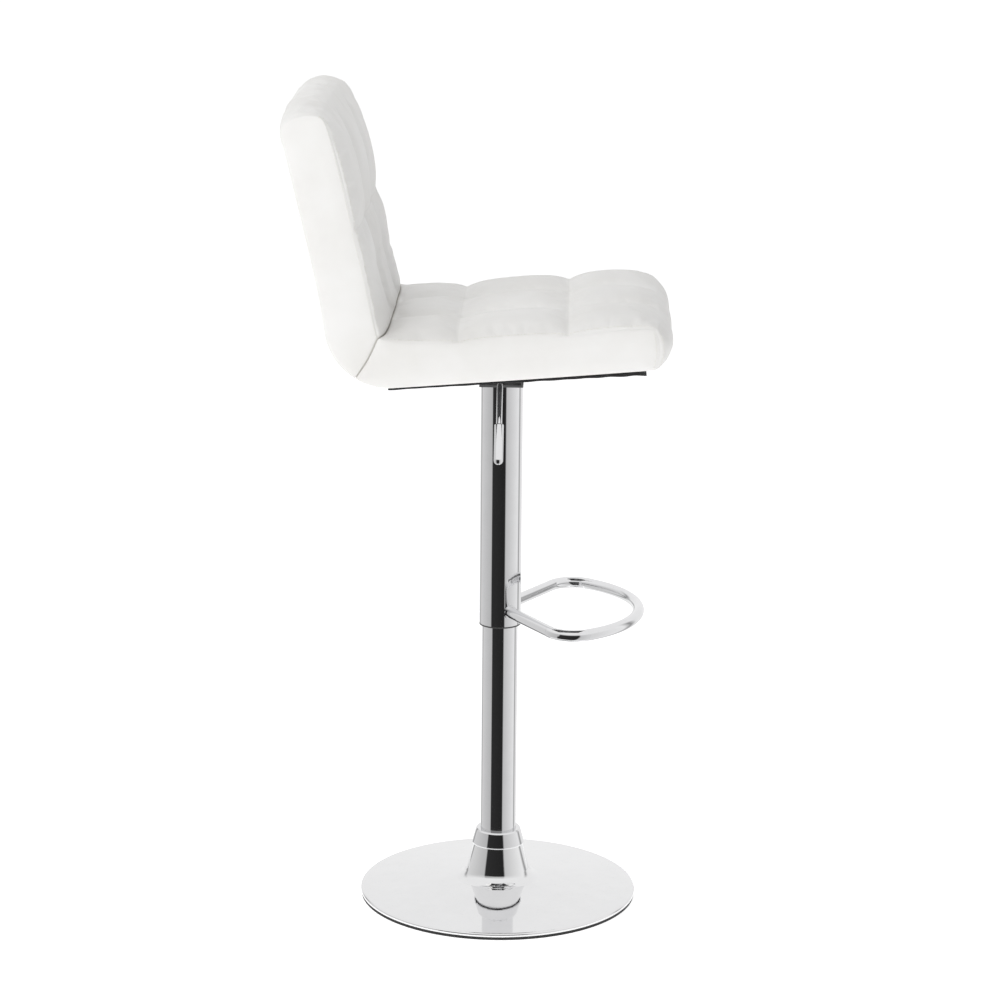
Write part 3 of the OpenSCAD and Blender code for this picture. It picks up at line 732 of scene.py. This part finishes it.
def plywood():
    m, tree, shader = new_material("plywood_birch", (0.6, 0.45, 0.28), 0.6)
    v = place_node(tree, (9, 9, 180))
    rings = add(tree, "ShaderNodeTexWave", Scale=2.0, Distortion=3.0, Detail=3.0)
    rings.bands_direction = "Z"
    tree.links.new(v, rings.inputs["Vector"])
    colour = mix_colour(tree, rings.outputs["Fac"], (0.42, 0.28, 0.15), (0.70, 0.55, 0.36))
    tree.links.new(colour, shader.inputs["Base Color"])
    tree.links.new(bump_node(tree, rings.outputs["Fac"], 0.2, 0.0003), shader.inputs["Normal"])
    return m


def woven_black():
    m, tree, shader = new_material("dust_cloth_black", (0.02, 0.02, 0.021), 0.85)
    v = place_node(tree)
    waves = []
    for direction in ("X", "Y"):
        wave = add(tree, "ShaderNodeTexWave", Scale=190.0, Distortion=0.6, Detail=1.0)
        wave.bands_direction = direction
        tree.links.new(v, wave.inputs["Vector"])
        waves.append(wave.outputs["Fac"])
    both = tree.nodes.new("ShaderNodeMath")
    both.operation = "MULTIPLY"
    tree.links.new(waves[0], both.inputs[0])
    tree.links.new(waves[1], both.inputs[1])
    slow = noise_node(tree, v, 40.0, 4.0)
    colour = mix_colour(tree, both.outputs[0], (0.012, 0.012, 0.013), (0.045, 0.045, 0.048))
    colour = mix_colour(tree, remap(tree, slow, 0, 0.4), colour, (0.06, 0.06, 0.06))
    tree.links.new(colour, shader.inputs["Base Color"])
    tree.links.new(bump_node(tree, both.outputs[0], 0.5, 0.0002), shader.inputs["Normal"])
    shader.inputs["Sheen Weight"].default_value = 0.15
    return m


MATERIALS = {
    "leatherette": leatherette(),
    "thread": surface("thread_white", (0.78, 0.76, 0.70), (0.88, 0.87, 0.83), (0.5, 0.7), scale=300,
                      grain=2500, bump=(0.3, 0.0001)),
    "column": chrome("chrome_polished", (0.82, 0.82, 0.83), 0.025, 0.07),
    "bar": chrome("chrome_bar", (0.84, 0.84, 0.85), 0.03, 0.09),
    "disc": chrome("chrome_disc", (0.86, 0.86, 0.865), 0.035, 0.075, 0.015),
    "rubber": surface("rubber_black", (0.010, 0.010, 0.010), (0.028, 0.028, 0.028), (0.55, 0.8), grain=1800,
                      bump=(0.25, 0.0002)),
    "seal": surface("rubber_seal", (0.012, 0.012, 0.013), (0.035, 0.035, 0.036), (0.45, 0.65), grain=1400),
    "raw": surface("steel_raw", (0.20, 0.20, 0.21), (0.36, 0.35, 0.34), (0.35, 0.6), 0.9, scale=22, grain=700,
                   bump=(0.2, 0.0002), wear=(0.55, 0.54, 0.52)),
    "zinc": surface("steel_zinc", (0.46, 0.48, 0.50), (0.66, 0.67, 0.66), (0.25, 0.45), 0.95, scale=180,
                    grain=900, wear=(0.8, 0.8, 0.8)),
    "ground": surface("steel_ground", (0.50, 0.50, 0.51), (0.68, 0.68, 0.68), (0.12, 0.25), 1.0, scale=50,
                      grain=1200, stretch=(6, 6, 1)),
    "plastic": surface("plastic_black", (0.012, 0.012, 0.013), (0.03, 0.03, 0.03), (0.32, 0.5), grain=1500,
                       bump=(0.2, 0.00015), wear=(0.07, 0.07, 0.07)),
    "nylon": surface("nylon_natural", (0.55, 0.51, 0.42), (0.70, 0.66, 0.56), (0.4, 0.55), grain=1100),
    "black_steel": surface("steel_black_coat", (0.014, 0.014, 0.015), (0.032, 0.032, 0.033), (0.38, 0.6),
                           grain=1300, bump=(0.35, 0.0002), wear=(0.16, 0.16, 0.16)),
    "plywood": plywood(),
    "cloth": woven_black(),
    "red": surface("plastic_red", (0.40, 0.015, 0.012), (0.60, 0.03, 0.02), (0.3, 0.45), grain=1300,
                   wear=(0.75, 0.15, 0.1)),
}

FINISH = {
    "column": ["outer_tube", "lift_sleeve", "base_collar"],
    "bar": ["footrest", "footrest_collars", "lever_rod", "lever_grip"],
    "disc": ["base_disc"],
    "rubber": ["floor_ring", "bump_stop"],
    "seal": ["piston_seal", "rod_seal"],
    "raw": ["ballast_plate", "base_socket", "tube_end_plate"],
    "zinc": ["ballast_screws", "rod_clip", "mounting_bolts", "bolt_washers", "tee_nuts", "staples",
             "lever_pin_clips", "valve_housing", "piston"],
    "ground": ["piston_rod", "lower_race", "upper_race", "bearing_balls", "lever_pin"],
    "plastic": ["guide_bush", "sleeve_plug", "sleeve_guide_ring"],
    "nylon": ["ball_cage", "rod_guide"],
    "black_steel": ["pressure_tube", "plate_socket", "mechanism_bracket", "seat_plate"],
    "plywood": ["seat_shell"],
    "red": ["valve_button"],
    "cloth": ["dust_cover"],
    "leatherette": ["seat_cushion", "back_cushion"],
}
for finish, names in FINISH.items():
    for node_name in names:
        for material_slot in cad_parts[node_name].material_slots:
            material_slot.material = MATERIALS[finish]

for piece, finish, slot_name in ((seat_cushion, "leatherette", "leatherette"),
                                 (back_cushion, "leatherette", "leatherette"),
                                 (back_stitches, "thread", "leatherette"),
                                 (seat_stitches, "thread", "leatherette"),
                                 (dust_cover, "cloth", "dust_cloth")):
    piece.data.materials.append(MATERIALS[finish])
    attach(piece, "carriage")
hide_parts("seat_cushion")
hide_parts("back_cushion")
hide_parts("dust_cover")


# ---- studio ----
def quad(name, corners):
    mesh = bpy.data.meshes.new(name)
    mesh.from_pydata(corners, [], [(0, 1, 2, 3)])
    ob = bpy.data.objects.new(name, mesh)
    bpy.context.scene.collection.objects.link(ob)
    return ob


def ramp(tree, value, stops):
    node = tree.nodes.new("ShaderNodeValToRGB")
    elements = node.color_ramp.elements
    while len(elements) < len(stops):
        elements.new(0.5)
    for element, (at, level) in zip(elements, stops):
        element.position = at
        element.color = (level, level, level, 1)
    tree.links.new(value, node.inputs["Fac"])
    return node.outputs["Color"]


def azimuth_of(tree, vector):
    """Turn about Z as 0..1, with 0.5 towards -X."""
    split = tree.nodes.new("ShaderNodeSeparateXYZ")
    tree.links.new(vector, split.inputs[0])
    turn = tree.nodes.new("ShaderNodeMath")
    turn.operation = "ARCTAN2"
    flip = []
    for axis in ("Y", "X"):
        neg = tree.nodes.new("ShaderNodeMath")
        neg.operation = "MULTIPLY"
        neg.inputs[1].default_value = -1
        tree.links.new(split.outputs[axis], neg.inputs[0])
        flip.append(neg.outputs[0])
    tree.links.new(flip[0], turn.inputs[0])
    tree.links.new(flip[1], turn.inputs[1])
    return remap(tree, turn.outputs[0], 0, 1, -math.pi, math.pi), split


# Surroundings that the chrome mirrors, by direction: 0.5 is the -X side, above it turns towards -Y
DIRECTION_LEVELS = [(0.0, 0.95), (0.09, 0.90), (0.12, 0.30), (0.145, 0.75), (0.36, 0.55), (0.372, 0.03),
                    (0.565, 0.02), (0.58, 0.62), (0.80, 0.95), (0.83, 0.30), (0.86, 0.90), (1.0, 0.95)]
FLOOR_HALF = 30.0
# The floor mirrors as plain paper near the base and as the surroundings beyond these distances
PAPER_FROM, PAPER_TO = 0.21, 0.30

floor = quad("floor", [(x * FLOOR_HALF, y * FLOOR_HALF, 0) for x, y in ((-1, -1), (1, -1), (1, 1), (-1, 1))])
m, tree, shader = new_material("floor_paper", (0.93, 0.93, 0.93), 0.7)
v = place_node(tree)
azimuth, split = azimuth_of(tree, v)
seen = ramp(tree, azimuth, DIRECTION_LEVELS)
paper = noise_node(tree, v, 3.0, 2.0)
white = mix_colour(tree, paper, (0.925, 0.925, 0.925), (0.935, 0.935, 0.935))
tree.links.new(white, shader.inputs["Base Color"])
shader.inputs["Emission Color"].default_value = (1, 1, 1, 1)
shader.inputs["Emission Strength"].default_value = 0.62
path = tree.nodes.new("ShaderNodeLightPath")
mirror = tree.nodes.new("ShaderNodeEmission")
tree.links.new(seen, mirror.inputs["Color"])
mix = tree.nodes.new("ShaderNodeMixShader")
length = tree.nodes.new("ShaderNodeVectorMath")
length.operation = "LENGTH"
tree.links.new(v, length.inputs[0])
outside = remap(tree, length.outputs["Value"], 0, 1, PAPER_FROM, PAPER_TO)
both = tree.nodes.new("ShaderNodeMath")
both.operation = "MULTIPLY"
tree.links.new(path.outputs["Is Glossy Ray"], both.inputs[0])
tree.links.new(outside, both.inputs[1])
tree.links.new(both.outputs[0], mix.inputs[0])
tree.links.new(shader.outputs[0], mix.inputs[1])
tree.links.new(mirror.outputs[0], mix.inputs[2])
tree.links.new(mix.outputs[0], tree.nodes["Material Output"].inputs["Surface"])
floor.data.materials.append(m)

world = bpy.data.worlds.new("studio")
bpy.context.scene.world = world
world.use_nodes = True
wt = world.node_tree
background = wt.nodes["Background"]
coords = wt.nodes.new("ShaderNodeTexCoord")
azimuth, split = azimuth_of(wt, coords.outputs["Generated"])
walls = ramp(wt, azimuth, DIRECTION_LEVELS)
above = remap(wt, split.outputs["Z"], 0, 1, 0.25, 0.55)
sky = mix_colour(wt, above, walls, (0.92, 0.92, 0.92))
path = wt.nodes.new("ShaderNodeLightPath")
glossy = mix_colour(wt, path.outputs["Is Glossy Ray"], (0.45, 0.45, 0.455), sky)
final = mix_colour(wt, path.outputs["Is Camera Ray"], glossy, (1.0, 1.0, 1.0))
wt.links.new(final, background.inputs["Color"])
background.inputs["Strength"].default_value = 1.0


def soft_light(name, place, aim, size, power):
    light = bpy.data.lights.new(name, "AREA")
    light.shape = "RECTANGLE"
    light.size, light.size_y = size
    light.energy = power
    ob = bpy.data.objects.new(name, light)
    bpy.context.scene.collection.objects.link(ob)
    ob.location = place
    ob.rotation_mode = "QUATERNION"
    ob.rotation_quaternion = (Vector(aim) - Vector(place)).to_track_quat("-Z", "Y")
    ob.visible_glossy = False
    return ob


soft_light("key_side", (-3.2, 1.9, 2.2), (0, 0, 0.8), (2.4, 2.4), 46)
soft_light("top", (0.2, 0.6, 3.2), (0, 0, 0.6), (2.4, 2.4), 22)
soft_light("fill_front", (-0.6, -3.4, 1.6), (0, 0, 0.8), (2.6, 2.2), 4)

scene = bpy.context.scene
scene.view_settings.view_transform = "Standard"
scene.view_settings.look = "None"

# ---- camera at the photograph's angle ----
CAMERA_DISTANCE = 4.4987
CAMERA_HEIGHT = 1.6896
CAMERA_PITCH = math.radians(13.9368)
CAMERA_TURN = math.radians(1.3)
CAMERA_ROLL = math.radians(0.4967)
CAMERA_PAN = math.radians(0.018)
LENS = 120.5

camera_data = bpy.data.cameras.new("camera")
camera_data.lens = LENS
camera_data.sensor_width = 36.0
camera_data.clip_end = 100
camera = bpy.data.objects.new("camera", camera_data)
scene.collection.objects.link(camera)
spot = Vector((-CAMERA_DISTANCE * math.cos(CAMERA_TURN), -CAMERA_DISTANCE * math.sin(CAMERA_TURN),
               CAMERA_HEIGHT))
heading = Vector((-spot.x, -spot.y, 0)).normalized()
heading = Matrix.Rotation(CAMERA_PAN, 3, "Z") @ heading
look = heading * math.cos(CAMERA_PITCH) + Vector((0, 0, -math.sin(CAMERA_PITCH)))
right = look.cross(Vector((0, 0, 1))).normalized()
up = right.cross(look)
turn = Matrix((right, up, -look)).transposed() @ Matrix.Rotation(CAMERA_ROLL, 3, "Z")
camera.matrix_world = Matrix.Translation(spot) @ turn.to_4x4()
scene.camera = camera
